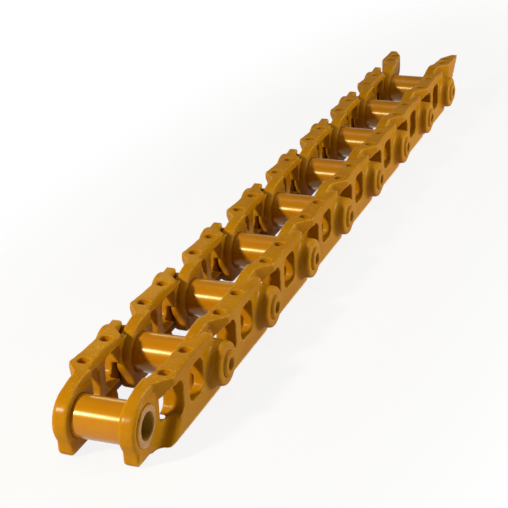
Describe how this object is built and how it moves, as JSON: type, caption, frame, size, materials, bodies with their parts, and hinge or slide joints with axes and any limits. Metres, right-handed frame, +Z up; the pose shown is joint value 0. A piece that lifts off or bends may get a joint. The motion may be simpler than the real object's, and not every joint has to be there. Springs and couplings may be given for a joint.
{
  "type": "crawler track chain",
  "caption": "Painted steel track chain of a small dozer: paired forged links hinged on pins and bushings, with shoe bolt holes, nut windows and toothed split links at the far end.",
  "frame": {"origin": "middle of the first bushing, on its axis", "axes": "+X along the chain towards the split links, +Y across it to the left row, +Z up to the shoe side"},
  "size_m": [1.3873, 0.1658, 0.0788],
  "materials": {
    "link_paint": "gloss",
    "bushing_paint": "gloss",
    "pin_paint": "gloss",
    "ring_steel": "ground",
    "seal_rubber": "matt",
    "plug_rubber": "matt"
  },
  "bodies": {
    "section_1": {"left_link_1": "link_paint", "right_link_1": "link_paint", "bushing_1": "bushing_paint", "pin_1": "pin_paint", "thrust_rings_1": "ring_steel", "seal_rings_1": "seal_rubber", "pin_plug_1": "plug_rubber"},
    "section_2": {"left_link_2": "link_paint", "right_link_2": "link_paint", "bushing_2": "bushing_paint", "pin_2": "pin_paint", "thrust_rings_2": "ring_steel", "seal_rings_2": "seal_rubber", "pin_plug_2": "plug_rubber"},
    "section_3": {"left_link_3": "link_paint", "right_link_3": "link_paint", "bushing_3": "bushing_paint", "pin_3": "pin_paint", "thrust_rings_3": "ring_steel", "seal_rings_3": "seal_rubber", "pin_plug_3": "plug_rubber"},
    "section_4": {"left_link_4": "link_paint", "right_link_4": "link_paint", "bushing_4": "bushing_paint", "pin_4": "pin_paint", "thrust_rings_4": "ring_steel", "seal_rings_4": "seal_rubber", "pin_plug_4": "plug_rubber"},
    "section_5": {"left_link_5": "link_paint", "right_link_5": "link_paint", "bushing_5": "bushing_paint", "pin_5": "pin_paint", "thrust_rings_5": "ring_steel", "seal_rings_5": "seal_rubber", "pin_plug_5": "plug_rubber"},
    "section_6": {"left_link_6": "link_paint", "right_link_6": "link_paint", "bushing_6": "bushing_paint", "pin_6": "pin_paint", "thrust_rings_6": "ring_steel", "seal_rings_6": "seal_rubber", "pin_plug_6": "plug_rubber"},
    "section_7": {"left_link_7": "link_paint", "right_link_7": "link_paint", "bushing_7": "bushing_paint", "pin_7": "pin_paint", "thrust_rings_7": "ring_steel", "seal_rings_7": "seal_rubber", "pin_plug_7": "plug_rubber"},
    "section_8": {"left_link_8": "link_paint", "right_link_8": "link_paint", "bushing_8": "bushing_paint", "pin_8": "pin_paint", "thrust_rings_8": "ring_steel", "seal_rings_8": "seal_rubber", "pin_plug_8": "plug_rubber"},
    "section_9": {"left_master_half": "link_paint", "right_master_half": "link_paint", "bushing_9": "bushing_paint"}
  },
  "joints": [
    {"name": "hinge_1", "type": "hinge", "parent": "section_1", "child": "section_2", "pos_m": [0.1556, 0, 0], "axis": [0, 1, 0], "range_deg": [-10, 30]},
    {"name": "hinge_2", "type": "hinge", "parent": "section_2", "child": "section_3", "pos_m": [0.3112, 0, 0], "axis": [0, 1, 0], "range_deg": [-10, 30]},
    {"name": "hinge_3", "type": "hinge", "parent": "section_3", "child": "section_4", "pos_m": [0.4668, 0, 0], "axis": [0, 1, 0], "range_deg": [-10, 30]},
    {"name": "hinge_4", "type": "hinge", "parent": "section_4", "child": "section_5", "pos_m": [0.6224, 0, 0], "axis": [0, 1, 0], "range_deg": [-10, 30]},
    {"name": "hinge_5", "type": "hinge", "parent": "section_5", "child": "section_6", "pos_m": [0.778, 0, 0], "axis": [0, 1, 0], "range_deg": [-10, 30]},
    {"name": "hinge_6", "type": "hinge", "parent": "section_6", "child": "section_7", "pos_m": [0.9336, 0, 0], "axis": [0, 1, 0], "range_deg": [-10, 30]},
    {"name": "hinge_7", "type": "hinge", "parent": "section_7", "child": "section_8", "pos_m": [1.0892, 0, 0], "axis": [0, 1, 0], "range_deg": [-10, 30]},
    {"name": "hinge_8", "type": "hinge", "parent": "section_8", "child": "section_9", "pos_m": [1.2448, 0, 0], "axis": [0, 1, 0], "range_deg": [-10, 30]}
  ]
}
